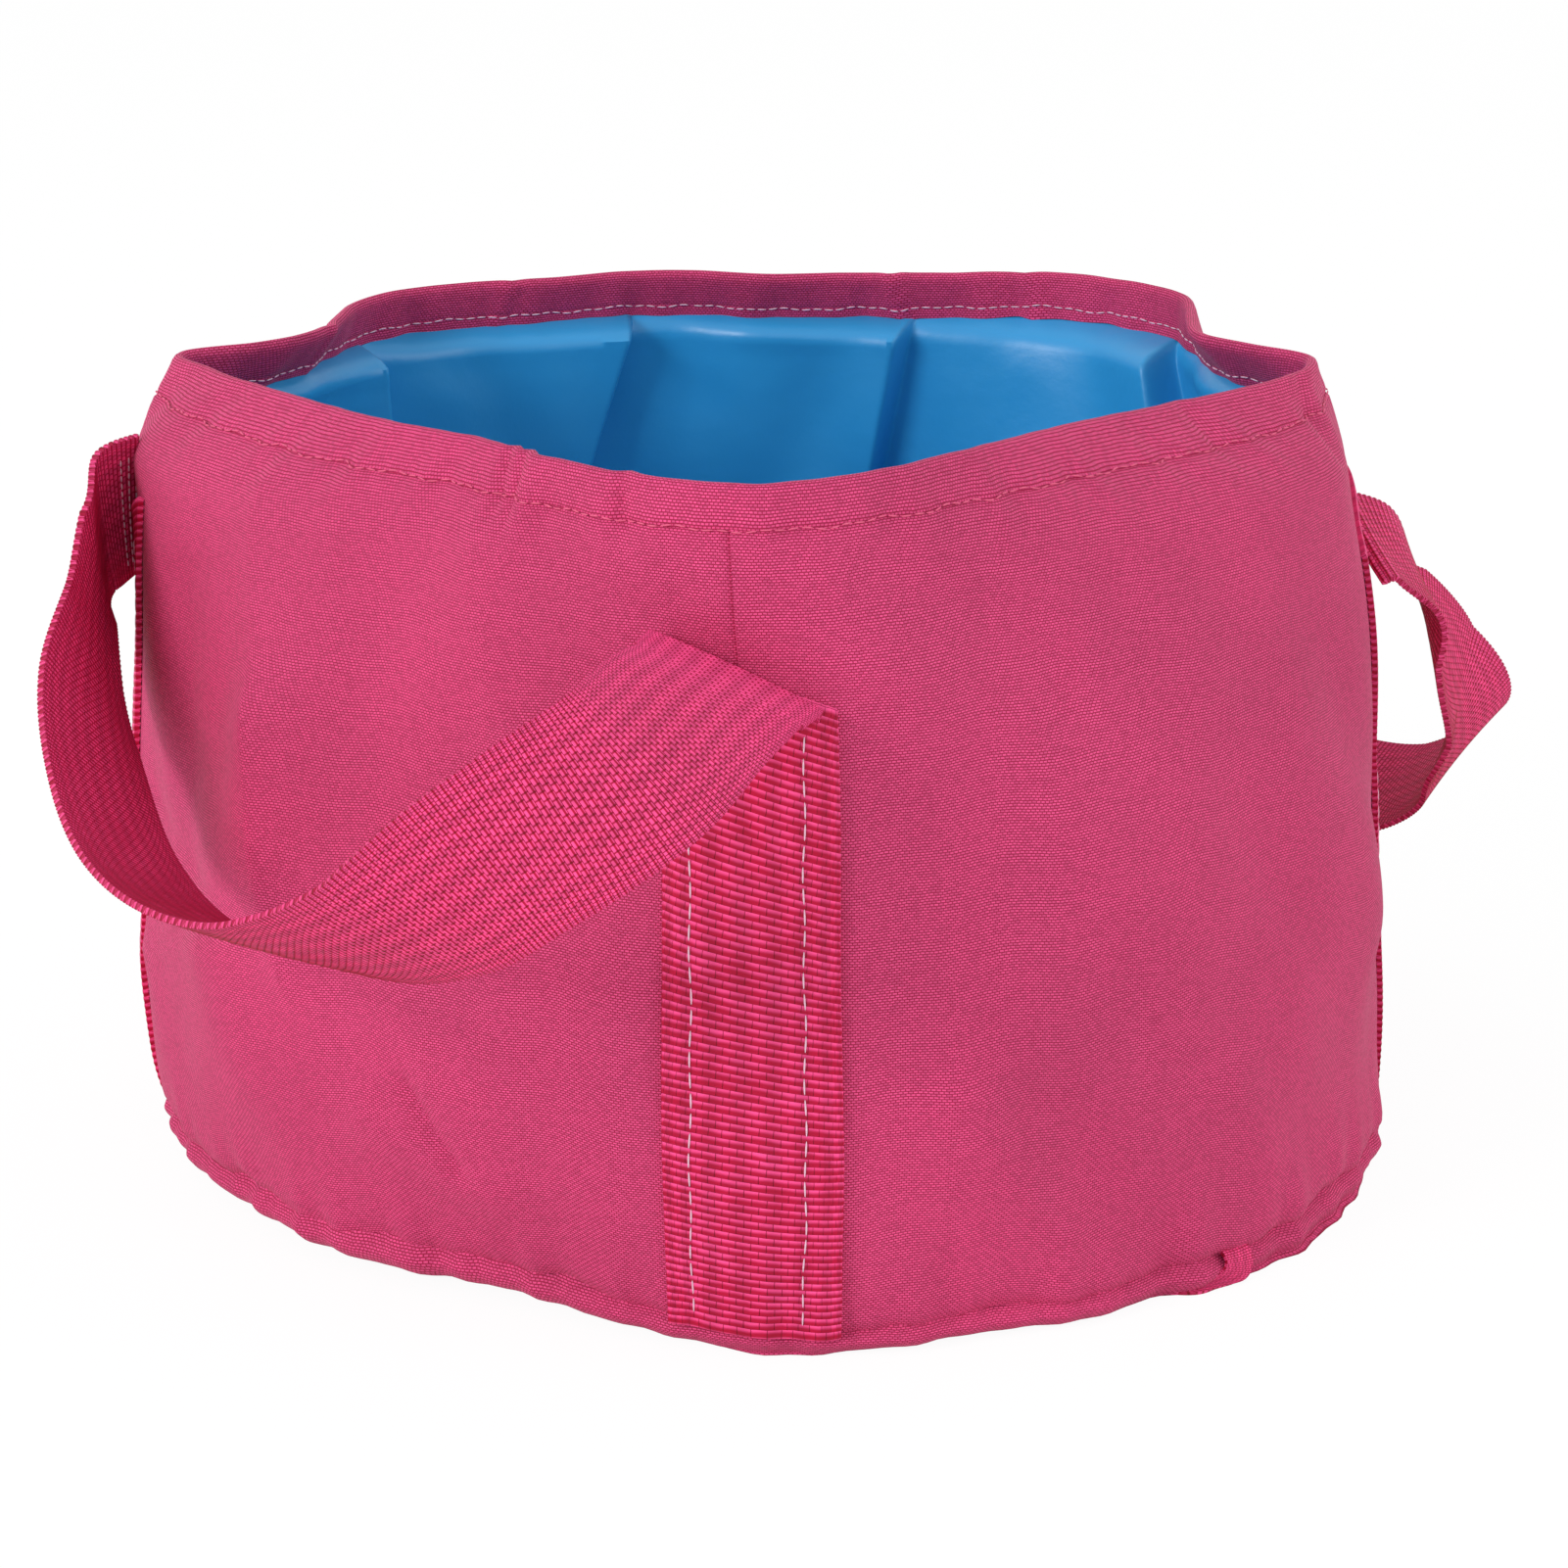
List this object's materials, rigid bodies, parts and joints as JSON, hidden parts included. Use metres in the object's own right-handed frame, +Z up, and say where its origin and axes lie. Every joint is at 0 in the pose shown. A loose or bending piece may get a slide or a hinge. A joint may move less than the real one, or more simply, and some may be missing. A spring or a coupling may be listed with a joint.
{
  "type": "collapsible camp bucket",
  "caption": "Soft round camp bucket: pink cloth shell on a blue film liner, webbing strips up the wall and webbing handle loops at the sides. The wall folds flat onto its base.",
  "frame": {"origin": "middle of the base, on the surface that the bucket stands on", "axes": "+Z up; -Y is the side with the front webbing strip; +X is the side where the right handle starts"},
  "size_m": [0.3667, 0.3956, 0.1985],
  "materials": {
    "shell_cloth": "matte coated oxford weave, bright pink",
    "webbing": "ribbed polyester webbing, deeper pink, slight sheen",
    "film": "coated waterproof film, semi-gloss blue"
  },
  "bodies": {
    "base": {"shell_base": "shell_cloth", "liner_floor": "film", "base_pull_loop": "webbing", "shell_panel_left": "shell_cloth", "shell_panel_right": "shell_cloth", "liner_wall": "film", "front_strap": "webbing", "right_strap": "webbing", "back_strap": "webbing", "left_strap": "webbing"},
    "rim": {"rim_hem": "shell_cloth"},
    "left_anchors": {"left_handle_front_turn": "webbing", "left_handle_side_turn": "webbing"},
    "left_handle": {"left_handle": "webbing"},
    "right_anchors": {"right_handle_side_turn": "webbing", "right_handle_back_turn": "webbing"},
    "right_handle": {"right_handle": "webbing"}
  },
  "joints": [
    {"name": "collapse", "type": "slide", "parent": "base", "child": "rim", "axis": [0, 0, -1], "range_m": [0, 0.138], "deforming": ["shell_panel_left", "shell_panel_right", "liner_wall", "front_strap", "right_strap", "back_strap", "left_strap"]},
    {"name": "left_anchor_drop", "type": "slide", "parent": "base", "child": "left_anchors", "axis": [0, 0, -1], "range_m": [0, 0.1212]},
    {"name": "right_anchor_drop", "type": "slide", "parent": "base", "child": "right_anchors", "axis": [0, 0, -1], "range_m": [0, 0.1212]},
    {"name": "left_handle_swing", "type": "hinge", "parent": "left_anchors", "child": "left_handle", "pos_m": [0, -0.1456, 0.16], "axis": [-0.7337, 0.6787, 0.032], "range_deg": [0, 80], "deforming": ["left_handle_front_turn", "left_handle_side_turn"]},
    {"name": "right_handle_swing", "type": "hinge", "parent": "right_anchors", "child": "right_handle", "pos_m": [0.1583, 0, 0.156], "axis": [0.7203, -0.6925, -0.0403], "range_deg": [0, 110], "deforming": ["right_handle_side_turn", "right_handle_back_turn"]}
  ],
  "couplings": [
    {"joint": "left_anchor_drop", "follows": "collapse", "ratio": 0.8743},
    {"joint": "right_anchor_drop", "follows": "collapse", "ratio": 0.8743}
  ]
}
